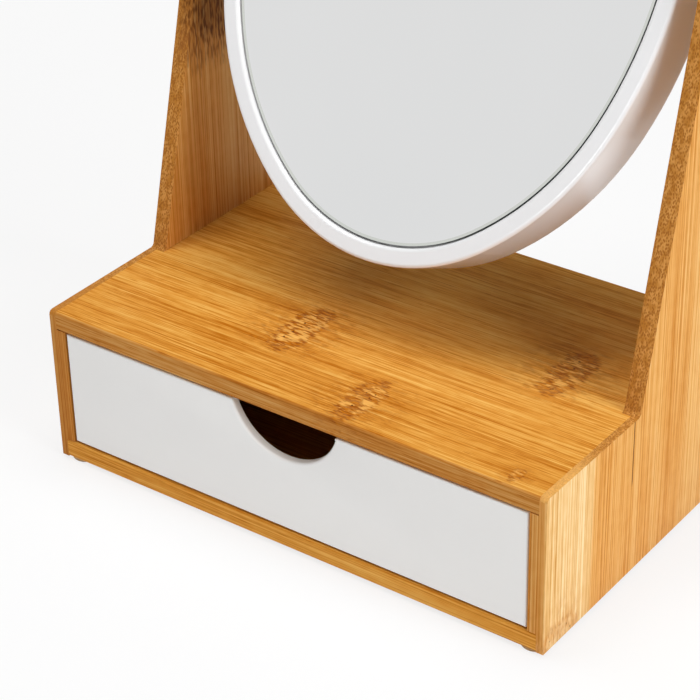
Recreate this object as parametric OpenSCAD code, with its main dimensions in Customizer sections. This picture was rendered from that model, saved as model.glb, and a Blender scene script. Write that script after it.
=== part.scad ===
// Table mirror on a bamboo stand: an oval two-sided mirror turns between two
// leaning uprights, over a low box with one drawer. Units are millimetres.
// X runs left to right, the drawer opens towards -Y, and Z = 0 is the table.

/* [Stand] */
// Depth of the box and of the foot of the uprights
stand_d = 142.5; // [132:0.5:165]
// Height of the box, without its foot pads
box_h = 67.5; // [55:0.5:75]
// Thickness of the side boards
side_t = 7; // [6.5:0.5:10]
// Thickness of the top and bottom boards
deck_t = 8; // [6:0.5:11]
// Thickness of the back board
back_t = 5; // [3:0.5:8]
// How far the back board is let into each side board
back_tongue = 2.5; // [1:0.5:3]
// Wood left outside the housings that take the top and bottom boards
lip_t = 3.2; // [2:0.1:5]
// Rounding along the front and back edges of the top and bottom boards
deck_round = 1; // [0.3:0.1:2]

/* [Uprights] */
// Depth of an upright where it leaves the box
upright_foot = 79.2; // [72:0.1:90]
// Height of the uprights over the pivots
upright_over = 20.2; // [16:0.1:30]
// How far the upright's front edge leans back, in degrees
upright_lean = 14.5; // [8:0.5:17]
// Fillet where the box runs into the upright
notch_r = 2; // [1:0.5:8]
// Rounding of the two top corners
upright_top_r = 10; // [4:1:14]

/* [Foot pads] */
// Diameter of a foot pad
pad_d = 12; // [6:1:16]
// Thickness of a foot pad
pad_h = 1.5; // [1:0.5:4]
// Edge of the stand to the edge of a pad
pad_inset = 1; // [0.5:0.5:8]

/* [Drawer] */
// Gap around the drawer front
front_gap = 0.8; // [0.5:0.1:1.5]
// Thickness of the drawer front
front_t = 3.5; // [3:0.5:6]
// How far the front lies behind the edge of the box
front_inset = 0.3; // [0:0.1:2]
// Rounding of the drawer front's edges
front_round = 0.8; // [0.3:0.1:1]
// Radius of the finger notch
finger_r = 25; // [15:1:30]
// Depth of the finger notch below the front's top edge
finger_depth = 18.5; // [12:0.5:20]
// Thickness of the drawer's sides and back
wall_t = 5; // [4:0.5:8]
// Height of the drawer's sides and back
wall_h = 41; // [30:1:44]
// Play between a drawer side and the side board
side_play = 1; // [0.5:0.1:2]
// Play under the drawer, and behind it when it is shut
slide_play = 0.3; // [0.2:0.1:0.8]
// Thickness of the drawer bottom
tray_t = 3; // [2:0.5:5]
// Height of the drawer bottom over the drawer's lower edge
tray_lift = 4; // [2:0.5:8]
// How deep the bottom is let into the sides and back
groove = 2.5; // [1:0.5:3]
// How deep the sides and the bottom are let into the front
front_groove = 1.2; // [0.6:0.2:1.8]
// Diameter of the pins in the back corners
pin_d = 1.4; // [1:0.1:2]
// Length of a corner pin
pin_len = 16; // [12:1:25]

/* [Mirror] */
// Radius of the oval's two end arcs
end_r = 70; // [60:1:76]
// Radius of the four arcs between the ends and the sides
mid_r = 114; // [100:1:120]
// Radius of the oval's two side arcs
side_r = 168; // [150:1:190]
// Width of the rim around the opening
rim_w = 7.4; // [6.6:0.2:8.6]
// Depth of the frame, front to back
frame_depth = 26.5; // [24:0.5:30]
// Rounding of the frame's outer edges
frame_round = 1.5; // [1:0.5:4]
// Rounding of the rim's inner edge
rim_round = 1.5; // [0.5:0.1:2]
// How far the rim stands proud of the glass
rim_proud = 1.5; // [1:0.25:4]
// Width of the inner flange that the glasses are stuck to
flange_w = 12; // [9:1:20]
// Thickness of each glass
glass_t = 3; // [2:0.5:4]
// Gap around each glass
glass_gap = 0.5; // [0.1:0.05:0.6]
// Radius of the magnifying glass's hollow face
hollow_r = 1100; // [900:50:2000]
// Thickness of the adhesive tape
tape_t = 1; // [0.5:0.25:1.5]
// Width of the adhesive tape
tape_w = 7; // [4:1:8]
// Edge of the glass to the tape
tape_inset = 3; // [2:0.5:4]
// How far the mirror leans back, in degrees
mirror_tilt = 25; // [0:1:40]

/* [Pivots] */
// Gap between the turning mirror and the top board at its narrowest
swing_gap = 15.2; // [4:0.1:25]
// From the pivots to the back edges of the uprights
pivot_back = 22; // [18:0.5:24]
// Diameter of the pivot screws' plain shank
shank_d = 6; // [4:0.5:7]
// Diameter of the pivot screws' thread
thread_d = 5; // [3:0.5:6]
// Diameter of a screw's head
head_d = 13; // [9:0.5:16]
// Height of a screw's head
head_h = 3.2; // [2:0.2:5]
// Width across the flats of the hexagon socket
socket_af = 4; // [2.5:0.5:5]
// Depth of the hexagon socket
socket_depth = 2; // [1:0.2:3]
// Outer diameter of the bush in the upright
bush_d = 10; // [8.5:0.5:12]
// Diameter of the bush's flange
flange_d = 15; // [12:0.5:18]
// Thickness of the bush's flange
bush_flange_t = 1.5; // [1:0.25:2]
// Running clearance between shank and bush, all round
shank_play = 0.05; // [0.02:0.01:0.08]
// Diameter of the plain washer under the head
washer_d = 14; // [10:0.5:17]
// Thickness of the plain washer
washer_t = 1; // [0.6:0.1:1.5]
// Outer diameter of the split spring washer
spring_d = 11; // [9:0.5:14]
// Thickness of the split spring washer
spring_t = 1.4; // [0.8:0.1:2]
// Width of the split in the spring washer
spring_split = 1.2; // [0.6:0.2:2]
// Diameter of the spacer between frame and upright
spacer_d = 12; // [9:0.5:14]
// Length of the spacer between frame and upright
spacer_len = 6.5; // [2:0.1:12]
// Outer diameter of the threaded insert in the frame
insert_d = 7.5; // [6.5:0.5:9]
// Length of the threaded insert
insert_len = 6.5; // [5:0.5:7]
// Play between parts that turn against each other
turn_play = 0.1; // [0.05:0.05:0.3]

/* [Hidden] */

// Facets of the preview on round work, on long curves, and on the very large hollow radius
round_fn = 48;
curve_fn = 160;
hollow_fn = 720;
// How far a cutting solid runs past the face that it cuts
past = 1;
// How far neighbouring arcs of the oval overlap, so that they join
join_lap = 0.01;
// Longer than any radius of the mirror
sector_reach = 250;

bamboo = [0.90, 0.68, 0.40];
bamboo_ply = [0.80, 0.60, 0.36];
white_lacquer = [0.90, 0.90, 0.89];
white_gloss = [0.94, 0.94, 0.94];
mirror_silver = [0.80, 0.83, 0.85];
foam_white = [0.85, 0.85, 0.83];
nylon_white = [0.88, 0.88, 0.86];
steel = [0.72, 0.72, 0.73];
brass = [0.80, 0.65, 0.30];
pad_tan = [0.66, 0.47, 0.28];

// The glass opening's oval: eight tangent arcs, drawn for its upper right quarter.
// The arcs meet on two rays, whose directions are Pythagorean so that they are exact.
end_ray = [0.6, 0.8];
side_ray = [0.936, 0.352];
end_c = [0, (mid_r - end_r) * end_ray[1] + (side_r - mid_r) * side_ray[1]];
mid_c = end_c + (end_r - mid_r) * end_ray;
side_c = mid_c + (mid_r - side_r) * side_ray;
glass_half_w = side_c[0] + side_r;
glass_half_h = end_c[1] + end_r;

// Mirror, in its own frame: X across, Y up the glass, Z out of the plain face
half_depth = frame_depth / 2;
glass_z = half_depth - rim_proud;
ledge_z = glass_z - glass_t - tape_t;
frame_half_w = glass_half_w + rim_w;
frame_half_h = glass_half_h + rim_w;
hollow_edge = glass_half_h - glass_gap;
hollow_sag = hollow_r - sqrt(hollow_r * hollow_r - hollow_edge * hollow_edge);
hollow_z = hollow_sag - glass_z;
hollow_centre_z = hollow_z - hollow_r;
corner_u = frame_half_h - frame_round;
corner_z = half_depth - frame_round;
swing_r = sqrt(corner_u * corner_u + corner_z * corner_z) + frame_round;

// Pivot stack along X, from the frame outwards to the side boards
bush_hole_r = shank_d / 2 + shank_play;
insert_x = frame_half_w - insert_len;
spring_x = frame_half_w + spacer_len;
flange_x = spring_x + spring_t + turn_play;
inner_half_w = flange_x + bush_flange_t;
half_w = inner_half_w + side_t;
washer_x = half_w + turn_play;
head_x = washer_x + washer_t;

// Stand
deck_half_w = half_w - lip_t;
opening_h = box_h - 2 * deck_t;
box_z = pad_h;
upright_set = stand_d - upright_foot;
lean_tan = tan(upright_lean);
lean_cos = cos(upright_lean);
lean_sin = sin(upright_lean);
pad_place = pad_inset + pad_d / 2;
pivot_y = stand_d - pivot_back;
pivot_h = box_h + swing_gap + swing_r;
pivot_z = box_z + pivot_h;
upright_h = pivot_h + upright_over;

// Drawer
front_w = 2 * (inner_half_w - front_gap);
front_h = opening_h - 2 * front_gap;
front_z = box_z + deck_t + front_gap;
front_back_y = front_inset + front_t;
drawer_half_w = inner_half_w - side_play;
drawer_z = box_z + deck_t + slide_play;
drawer_end_y = stand_d - back_t - slide_play;
tray_z = drawer_z + tray_lift;
// Where the corner pins lie, as shares of the drawer side's height
pin_levels = [0.25, 0.75];

// Depth over everything, which sets the origin under the middle of the object
mirror_back_y = pivot_y + corner_u * sin(mirror_tilt) + corner_z * cos(mirror_tilt) + frame_round;
overall_d = max(stand_d, mirror_back_y);

// Placing

module on_stand() {
    translate([0, -overall_d / 2, box_z]) children();
}

module on_table() {
    translate([0, -overall_d / 2, 0]) children();
}

module on_mirror() {
    translate([0, pivot_y - overall_d / 2, pivot_z])
        rotate([90 - mirror_tilt, 0, 0])
            children();
}

// Turns a child drawn along +Z to run along +X on the pivot axis
module on_pivot(side) {
    on_mirror() mirror([side < 0 ? 1 : 0, 0, 0]) rotate([0, 90, 0]) children();
}

// Stand boards

// The upright's front edge at a height over the underside of the box
function front_edge_y(h) = upright_set + (h - box_h) * lean_tan;

// What a rounding about the origin takes off a corner, whose walls face along +Y and
// along a direction turned from that towards +X
module rounding_cut(r, turn) {
    reach = r + past;
    difference() {
        polygon(reach * [[0, 0], [0, 1], [tan(turn / 2), 1], [sin(turn), cos(turn)]]);
        circle(r, $fn = round_fn);
    }
}

// The box's side and the upright in one outline, with the fillet between them
module side_outline() {
    top_c_h = upright_h - upright_top_r;
    front_c_y = front_edge_y(top_c_h) + upright_top_r / lean_cos;
    reach = notch_r * tan((90 - upright_lean) / 2);
    difference() {
        polygon([
            [0, 0],
            [0, box_h],
            [upright_set - reach, box_h],
            [upright_set + reach * lean_sin, box_h + reach * lean_cos],
            [front_edge_y(upright_h), upright_h],
            [stand_d, upright_h],
            [stand_d, 0]
        ]);
        translate([upright_set - reach, box_h + notch_r]) circle(notch_r, $fn = curve_fn);
        translate([front_c_y, top_c_h]) mirror([1, 0]) rounding_cut(upright_top_r, 90 - upright_lean);
        translate([stand_d - upright_top_r, top_c_h]) rounding_cut(upright_top_r, 90);
    }
}

// A side board at the right, with housings for the top, bottom and back boards
module side_board() {
    housing = side_t - lip_t;
    difference() {
        translate([inner_half_w, 0, 0])
            rotate([90, 0, 90])
                linear_extrude(side_t) side_outline();
        translate([inner_half_w - past, -past, box_h - deck_t])
            cube([housing + past, stand_d + 2 * past, deck_t]);
        translate([inner_half_w - past, -past, -past])
            cube([housing + past, stand_d + 2 * past, deck_t + past]);
        translate([inner_half_w - past, stand_d - back_t, deck_t - past])
            cube([back_tongue + past, back_t + past, opening_h + 2 * past]);
        translate([inner_half_w - past, pivot_y, pivot_h])
            rotate([0, 90, 0])
                cylinder(d = bush_d, h = side_t + 2 * past, $fn = round_fn);
    }
}

module right_side_board() {
    color(bamboo) on_stand() side_board();
}

module left_side_board() {
    color(bamboo) on_stand() mirror([1, 0, 0]) side_board();
}

// A rectangle with all four corners rounded
module rounded_rect(w, h, r) {
    translate([r, 0]) square([w - 2 * r, h]);
    translate([0, r]) square([w, h - 2 * r]);
    for (x = [r, w - r], y = [r, h - r]) translate([x, y]) circle(r, $fn = round_fn);
}

module deck_board() {
    translate([-deck_half_w, 0, 0])
        rotate([90, 0, 90])
            linear_extrude(2 * deck_half_w)
                rounded_rect(stand_d, deck_t, deck_round);
}

module top_board() {
    color(bamboo) on_stand() translate([0, 0, box_h - deck_t]) deck_board();
}

module bottom_board() {
    color(bamboo) on_stand() deck_board();
}

module back_board() {
    back_half_w = inner_half_w + back_tongue;
    color(bamboo)
        on_stand()
            translate([-back_half_w, stand_d - back_t, deck_t])
                cube([2 * back_half_w, back_t, opening_h]);
}

module foot_pad(side, row) {
    pad_y = row > 0 ? stand_d - pad_place : pad_place;
    color(pad_tan)
        on_table()
            translate([side * (half_w - pad_place), pad_y, 0])
                cylinder(d = pad_d, h = pad_h, $fn = round_fn);
}

// Drawer

module finger_notch() {
    notch_z = front_h - finger_depth + finger_r;
    translate([0, -past, notch_z])
        rotate([-90, 0, 0])
            cylinder(r = finger_r, h = front_t + 2 * past, $fn = curve_fn);
}

module drawer_front() {
    groove_y = front_t - front_groove;
    color(white_lacquer)
        on_table()
            translate([0, front_inset, front_z])
                difference() {
                    intersection() {
                        translate([-front_w / 2, 0, 0])
                            rotate([90, 0, 90])
                                linear_extrude(front_w)
                                    rounded_rect(front_t, front_h, front_round);
                        translate([-front_w / 2, 0, 0])
                            linear_extrude(front_h)
                                rounded_rect(front_w, front_t, front_round);
                    }
                    finger_notch();
                    for (side = [0, 1])
                        mirror([side, 0, 0])
                            translate([drawer_half_w - wall_t, groove_y, drawer_z - front_z])
                                cube([wall_t, front_groove + past, wall_h]);
                    translate([-drawer_half_w + wall_t - groove, groove_y, tray_z - front_z])
                        cube([2 * (drawer_half_w - wall_t + groove), front_groove + past, tray_t]);
                }
}

module drawer_side() {
    start_y = front_back_y - front_groove;
    color(bamboo_ply)
        on_table()
            difference() {
                translate([drawer_half_w - wall_t, start_y, drawer_z])
                    cube([wall_t, drawer_end_y - start_y, wall_h]);
                translate([drawer_half_w - wall_t - past, start_y - past, tray_z])
                    cube([groove + past, drawer_end_y - wall_t + groove - start_y + past, tray_t]);
                side_pin_places() cylinder(d = pin_d, h = pin_len, $fn = round_fn);
            }
}

module drawer_right_side() {
    drawer_side();
}

module drawer_left_side() {
    mirror([1, 0, 0]) drawer_side();
}

// Two pin places at the right back corner, each running inwards from the side's face
module side_pin_places() {
    for (level = pin_levels)
        translate([drawer_half_w, drawer_end_y - wall_t / 2, drawer_z + wall_h * level])
            rotate([0, -90, 0])
                children();
}

module both_sides_pins() {
    for (side = [0, 1])
        mirror([side, 0, 0])
            side_pin_places() cylinder(d = pin_d, h = pin_len, $fn = round_fn);
}

module drawer_back() {
    back_half = drawer_half_w - wall_t;
    color(bamboo_ply)
        on_table()
            difference() {
                translate([-back_half, drawer_end_y - wall_t, drawer_z])
                    cube([2 * back_half, wall_t, wall_h]);
                translate([-back_half - past, drawer_end_y - wall_t - past, tray_z])
                    cube([2 * (back_half + past), groove + past, tray_t]);
                both_sides_pins();
            }
}

module drawer_bottom() {
    tray_half = drawer_half_w - wall_t + groove;
    start_y = front_back_y - front_groove;
    color(bamboo_ply)
        on_table()
            translate([-tray_half, start_y, tray_z])
                cube([2 * tray_half, drawer_end_y - wall_t + groove - start_y, tray_t]);
}

module drawer_corner_pins() {
    color(steel) on_table() both_sides_pins();
}

// Mirror

// What its children make about an arc's centre, kept between the arc's two end rays
module arc_sector(centre, radius, ray_a, ray_b) {
    $arc_r = radius;
    out_a = join_lap * [ray_a[1], -ray_a[0]];
    out_b = join_lap * [-ray_b[1], ray_b[0]];
    far_a = out_a + sector_reach * ray_a;
    far_b = out_b + sector_reach * ray_b;
    translate([centre[0], centre[1], 0])
        intersection() {
            children();
            translate([0, 0, -frame_depth])
                linear_extrude(2 * frame_depth)
                    polygon([[0, 0], out_a, far_a, far_b, out_b]);
        }
}

// Repeats its children over the oval's eight arcs, with $arc_r as each arc's radius
module each_arc() {
    for (flip = [0, 1]) {
        mirror([flip, 0, 0])
            arc_sector(side_c, side_r, [side_ray[0], -side_ray[1]], side_ray) children();
        mirror([0, flip, 0])
            arc_sector(end_c, end_r, end_ray, [-end_ray[0], end_ray[1]]) children();
        for (turn = [0, 1])
            mirror([flip, 0, 0])
                mirror([0, turn, 0])
                    arc_sector(mid_c, mid_r, side_ray, end_ray) children();
    }
}

// Sweeps a profile round the oval: its X is the distance out from the glass opening
module oval_sweep() {
    each_arc()
        rotate_extrude($fn = curve_fn)
            translate([$arc_r, 0])
                children();
}

// The oval as a plate from z upwards, grown outwards by a distance
module oval_plate(grow, z, t) {
    each_arc()
        translate([0, 0, z])
            cylinder(r = $arc_r + grow, h = t, $fn = 2 * curve_fn);
}

// Everything behind the magnifying glass's hollow face, or behind a face parallel to it
module hollow_ball(radius) {
    translate([0, 0, hollow_centre_z])
        rotate([90, 0, 0])
            sphere(radius, $fn = hollow_fn);
}

// The rim's section, with its inner wall at X = 0
module rim_profile() {
    difference() {
        translate([0, -half_depth]) square([rim_w, frame_depth]);
        for (face = [0, 1])
            mirror([0, face]) {
                translate([rim_w - frame_round, half_depth - frame_round]) rounding_cut(frame_round, 90);
                translate([rim_round, half_depth - rim_round]) mirror([1, 0]) rounding_cut(rim_round, 90);
            }
    }
}

module mirror_frame() {
    color(white_gloss)
        on_mirror()
            difference() {
                union() {
                    oval_sweep() rim_profile();
                    difference() {
                        oval_sweep()
                            translate([-flange_w, -half_depth + rim_proud])
                                square([flange_w + past, ledge_z + half_depth - rim_proud]);
                        hollow_ball(hollow_r + glass_t + tape_t);
                    }
                }
                for (side = [0, 1])
                    mirror([side, 0, 0])
                        translate([insert_x, 0, 0])
                            rotate([0, 90, 0])
                                cylinder(d = insert_d, h = insert_len + past, $fn = round_fn);
            }
}

module plain_mirror_glass() {
    color(mirror_silver)
        on_mirror()
            oval_plate(-glass_gap, glass_z - glass_t, glass_t);
}

module plain_glass_tape() {
    color(foam_white)
        on_mirror()
            oval_sweep()
                translate([-tape_inset - tape_w, ledge_z]) square([tape_w, tape_t]);
}

module magnifying_mirror_glass() {
    color(mirror_silver)
        on_mirror()
            difference() {
                intersection() {
                    oval_plate(-glass_gap, -half_depth, frame_depth);
                    hollow_ball(hollow_r + glass_t);
                }
                hollow_ball(hollow_r);
            }
}

module magnifying_glass_tape() {
    color(foam_white)
        on_mirror()
            difference() {
                intersection() {
                    oval_sweep()
                        translate([-tape_inset - tape_w, -half_depth]) square([tape_w, frame_depth]);
                    hollow_ball(hollow_r + glass_t + tape_t);
                }
                hollow_ball(hollow_r + glass_t);
            }
}

// Pivots

module tube(outer_d, inner_r, length) {
    difference() {
        cylinder(d = outer_d, h = length, $fn = round_fn);
        translate([0, 0, -past]) cylinder(r = inner_r, h = length + 2 * past, $fn = round_fn);
    }
}

// The bush lies in the upright, with its flange towards the mirror
module pivot_bush(side) {
    bush_len = bush_flange_t + side_t;
    color(nylon_white)
        on_stand()
            mirror([side < 0 ? 1 : 0, 0, 0])
                translate([flange_x, pivot_y, pivot_h])
                    rotate([0, 90, 0])
                        difference() {
                            union() {
                                cylinder(d = flange_d, h = bush_flange_t, $fn = round_fn);
                                cylinder(d = bush_d, h = bush_len, $fn = round_fn);
                            }
                            translate([0, 0, -past])
                                cylinder(r = bush_hole_r, h = bush_len + 2 * past, $fn = round_fn);
                        }
}

module pivot_screw(side) {
    dome_r = (head_d * head_d / 4 + head_h * head_h) / (2 * head_h);
    color(steel)
        on_pivot(side)
            difference() {
                union() {
                    translate([0, 0, insert_x])
                        cylinder(d = thread_d, h = head_x - insert_x, $fn = round_fn);
                    translate([0, 0, frame_half_w])
                        cylinder(d = shank_d, h = head_x - frame_half_w, $fn = round_fn);
                    translate([0, 0, head_x])
                        rotate_extrude($fn = round_fn)
                            intersection() {
                                translate([0, head_h - dome_r]) circle(dome_r, $fn = curve_fn);
                                square([head_d / 2, head_h]);
                            }
                }
                translate([0, 0, head_x + head_h - socket_depth])
                    cylinder(d = socket_af / cos(30), h = socket_depth + past, $fn = 6);
            }
}

module head_washer(side) {
    color(steel) on_pivot(side) translate([0, 0, washer_x]) tube(washer_d, bush_hole_r, washer_t);
}

module spring_washer(side) {
    color(steel)
        on_pivot(side)
            translate([0, 0, spring_x])
                difference() {
                    tube(spring_d, bush_hole_r, spring_t);
                    translate([0, -spring_split / 2, -past])
                        cube([spring_d, spring_split, spring_t + 2 * past]);
                }
}

module pivot_spacer(side) {
    color(nylon_white)
        on_pivot(side)
            translate([0, 0, frame_half_w]) tube(spacer_d, bush_hole_r, spacer_len);
}

module frame_insert(side) {
    color(brass)
        on_pivot(side)
            translate([0, 0, insert_x]) tube(insert_d, thread_d / 2 + shank_play, insert_len);
}

left_side_board();
right_side_board();
top_board();
bottom_board();
back_board();
foot_pad(-1, -1);  // front_left_foot_pad
foot_pad(1, -1);  // front_right_foot_pad
foot_pad(-1, 1);  // rear_left_foot_pad
foot_pad(1, 1);  // rear_right_foot_pad
pivot_bush(-1);  // left_pivot_bush
pivot_bush(1);  // right_pivot_bush
drawer_front();
drawer_left_side();
drawer_right_side();
drawer_back();
drawer_bottom();
drawer_corner_pins();
mirror_frame();
plain_mirror_glass();
plain_glass_tape();
magnifying_mirror_glass();
magnifying_glass_tape();
frame_insert(-1);  // left_frame_insert
frame_insert(1);  // right_frame_insert
pivot_screw(-1);  // left_pivot_screw
pivot_screw(1);  // right_pivot_screw
head_washer(-1);  // left_head_washer
head_washer(1);  // right_head_washer
spring_washer(-1);  // left_spring_washer
spring_washer(1);  // right_spring_washer
pivot_spacer(-1);  // left_pivot_spacer
pivot_spacer(1);  // right_pivot_spacer
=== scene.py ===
# %% [markdown]
# # A bamboo table mirror with a drawer
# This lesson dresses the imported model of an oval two-sided mirror. The mirror turns between two bamboo
# uprights over a low box with a white-fronted drawer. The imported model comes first, because every piece
# here is placed by it.

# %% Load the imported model
import math

import bmesh
import bpy
from mathutils import Matrix, Vector


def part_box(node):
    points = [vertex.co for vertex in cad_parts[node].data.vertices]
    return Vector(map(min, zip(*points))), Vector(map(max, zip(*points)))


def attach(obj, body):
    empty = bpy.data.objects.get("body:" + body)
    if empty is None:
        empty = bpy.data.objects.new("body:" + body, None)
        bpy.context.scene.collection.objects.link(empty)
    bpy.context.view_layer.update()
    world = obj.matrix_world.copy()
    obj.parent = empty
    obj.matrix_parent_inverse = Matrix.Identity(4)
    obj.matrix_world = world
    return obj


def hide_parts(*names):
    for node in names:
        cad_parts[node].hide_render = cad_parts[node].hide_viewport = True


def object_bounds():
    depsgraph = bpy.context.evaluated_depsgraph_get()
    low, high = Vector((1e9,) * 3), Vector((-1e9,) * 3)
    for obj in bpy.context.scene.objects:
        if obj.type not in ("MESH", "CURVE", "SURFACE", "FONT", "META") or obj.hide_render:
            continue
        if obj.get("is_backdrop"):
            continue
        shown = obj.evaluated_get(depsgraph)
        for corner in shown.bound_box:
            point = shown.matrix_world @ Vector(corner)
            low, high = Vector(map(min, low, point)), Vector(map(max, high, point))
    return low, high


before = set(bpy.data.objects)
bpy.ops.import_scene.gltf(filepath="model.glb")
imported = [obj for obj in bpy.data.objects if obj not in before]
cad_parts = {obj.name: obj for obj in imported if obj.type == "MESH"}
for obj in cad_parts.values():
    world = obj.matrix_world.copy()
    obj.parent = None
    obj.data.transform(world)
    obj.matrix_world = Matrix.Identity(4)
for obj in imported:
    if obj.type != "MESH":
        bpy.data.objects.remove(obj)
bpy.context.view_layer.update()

# %% [markdown]
# ## The camera
# A product photograph is taken with a long lens, so that the uprights stay nearly parallel. The angle, the
# distance and the small tilt of the camera were worked out from the straight edges of the box. A camera can
# be aimed with rotations, but three axes set side by side in a matrix say the same thing without guessing
# an order of turns.

# %% Camera at the photograph's angle
CAMERA_PLACE = Vector((0.45371, -0.65845, 0.52849))
CAMERA_AZIMUTH = math.radians(36.75)
CAMERA_ELEVATION = math.radians(31.25)
CAMERA_ROLL = math.radians(-1.34)
LENS_MM = 120.0
SENSOR_MM = 36.0
NEAREST, FARTHEST = 0.05, 30.0

camera = bpy.data.objects.new("camera", bpy.data.cameras.new("camera"))
bpy.context.scene.collection.objects.link(camera)
bpy.context.scene.camera = camera
camera.data.lens = LENS_MM
camera.data.sensor_width = SENSOR_MM
camera.data.clip_start = NEAREST
camera.data.clip_end = FARTHEST

back = Vector((
    math.sin(CAMERA_AZIMUTH) * math.cos(CAMERA_ELEVATION),
    -math.cos(CAMERA_AZIMUTH) * math.cos(CAMERA_ELEVATION),
    math.sin(CAMERA_ELEVATION),
))
level = Vector((math.cos(CAMERA_AZIMUTH), math.sin(CAMERA_AZIMUTH), 0))
upright = back.cross(level)
right = math.cos(CAMERA_ROLL) * level + math.sin(CAMERA_ROLL) * upright
above = math.cos(CAMERA_ROLL) * upright - math.sin(CAMERA_ROLL) * level
turn = Matrix((right, above, back)).transposed()
camera.matrix_world = Matrix.Translation(CAMERA_PLACE) @ turn.to_4x4()
print("camera looks along", [round(v, 3) for v in -back])

# %% [markdown]
# ## Helpers for the materials
# Every finish here is made of shader nodes. Short helpers keep the cells below readable: one adds a node and
# fills its inputs, and the others do a sum, mix two colours, take a value from one range to another, or make
# noise and bumps. Noise goes from 0 to 1, but nearly all of it lies between NOISE_LOW and NOISE_HIGH. Colours
# are written as they look on a screen, from 0 to 255, and turned into the linear values that a shader works
# with.

# %% Node helpers
NOISE_LOW, NOISE_HIGH = 0.3, 0.7


def linear(red, green, blue):
    """A screen colour from 0 to 255 as a linear colour with full opacity."""
    parts = [value / 255 for value in (red, green, blue)]
    return [p / 12.92 if p <= 0.04045 else ((p + 0.055) / 1.055) ** 2.4 for p in parts] + [1.0]


def new_finish(name):
    """A material with its tree of nodes and its surface shader."""
    finish = bpy.data.materials.new(name)
    finish.use_nodes = True
    return finish, finish.node_tree, finish.node_tree.nodes["Principled BSDF"]


def add(tree, kind, inputs, **settings):
    """A node of a kind, with each input set to a value or joined to another node's output."""
    made = tree.nodes.new("ShaderNode" + kind)
    for name, value in settings.items():
        setattr(made, name, value)
    for key, value in inputs.items():
        if isinstance(value, bpy.types.NodeSocket):
            tree.links.new(value, made.inputs[key])
        else:
            made.inputs[key].default_value = value
    return made


def calc(tree, operation, *values):
    """The outcome of one sum."""
    return add(tree, "Math", dict(enumerate(values)), operation=operation).outputs[0]


def mix(tree, share, first, second, blend_type="MIX"):
    """Two colours mixed by a share from 0 to 1."""
    made = add(tree, "Mix", {0: share, 6: first, 7: second}, data_type="RGBA", blend_type=blend_type)
    return made.outputs[2]


def between(tree, value, low, high, start=0.0, end=1.0):
    """A value taken smoothly from start to end as it goes from low to high."""
    inputs = {0: value, 1: low, 2: high, 3: start, 4: end}
    return add(tree, "MapRange", inputs, interpolation_type="SMOOTHSTEP").outputs[0]


def noise(tree, vector, scale, detail=2.0, roughness=0.5):
    """Soft noise from 0 to 1."""
    inputs = {"Vector": vector, "Scale": scale, "Detail": detail, "Roughness": roughness}
    return add(tree, "TexNoise", inputs).outputs[0]


def bump(tree, surface, height, distance):
    """Raises the surface by a height from 0 to 1, times a distance in metres."""
    made = add(tree, "Bump", {"Height": height, "Distance": distance, "Strength": 1.0})
    tree.links.new(made.outputs[0], surface.inputs["Normal"])


# %% [markdown]
# ## Bamboo
# Bamboo board is made of strips glued side by side. Along a strip run fine fibres, every strip has its own
# tone, and here and there a strip carries a joint of the cane, as a knotty band across it. Where a board is
# cut across the fibres, their ends show as brown dots. One material can do all this when it is given the
# board's directions: along the fibres, across the strips, and through the thickness. It is made in
# millimetres of the board itself, so the pattern runs through the wood and meets at the edges as real wood
# does.

# %% The board's own directions
MM_PER_METRE = 1000.0
END_FACING = (0.1, 0.26)


def board_place(tree, along, across):
    """Millimetres across the strips, through the board and along the fibres, and how far ends show."""
    coordinates = add(tree, "TexCoord", {})
    parts = add(tree, "SeparateXYZ", {0: coordinates.outputs["Object"]})
    facing = add(tree, "SeparateXYZ", {0: coordinates.outputs["Normal"]})
    through = 3 - along - across
    places = [calc(tree, "MULTIPLY", parts.outputs[axis], MM_PER_METRE) for axis in (across, through, along)]
    end = between(tree, calc(tree, "ABSOLUTE", facing.outputs[along]), *END_FACING)
    return places, end


def stretched(tree, places, width, length, shift, step=0.0):
    """A vector whose noise is width millimetres fine across the fibres and length millimetres long."""
    parts = [calc(tree, "DIVIDE", place, size) for place, size in zip(places, (width, width, length))]
    shifted = calc(tree, "ADD", calc(tree, "ADD", parts[2], shift), step)
    return add(tree, "CombineXYZ", {0: parts[0], 1: parts[1], 2: shifted}).outputs[0]


# %% [markdown]
# A mask is a value from 0 to 1 that says how strongly something shows at a point. Masks for joints, strips
# and cracks could be painted on an image, but sums of a point's own millimetres need no image and have no
# seams.

# %% Masks for joints and cracks
CRACK_FADE = 4.0
CRACK_CORE = 0.3
PATCH_SQUARENESS = 3.0


def both(tree, *masks):
    """Masks multiplied together."""
    product = masks[0]
    for mask in masks[1:]:
        product = calc(tree, "MULTIPLY", product, mask)
    return product


def inside(tree, place, low, high, edge):
    """1 from low to high, fading to 0 over an edge's width outside."""
    above_low = between(tree, place, low - edge, low)
    below_high = between(tree, place, high, high + edge, 1.0, 0.0)
    return both(tree, above_low, below_high)


def patch(tree, places, box, ragged, soft=0.3):
    """1 in the middle of a patch, fading to 0 at its ragged rim. box is its centre and half sizes in mm."""
    across, along, half_across, half_along = box
    sideways = calc(tree, "DIVIDE", calc(tree, "SUBTRACT", places[0], across), half_across)
    lengthways = calc(tree, "DIVIDE", calc(tree, "SUBTRACT", places[2], along), half_along)
    steep_sides = calc(tree, "POWER", calc(tree, "ABSOLUTE", sideways), PATCH_SQUARENESS)
    far = calc(tree, "ADD", steep_sides, both(tree, lengthways, lengthways))
    return between(tree, calc(tree, "ADD", far, ragged), 1 - soft, 1 + soft, 1.0, 0.0)


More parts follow.
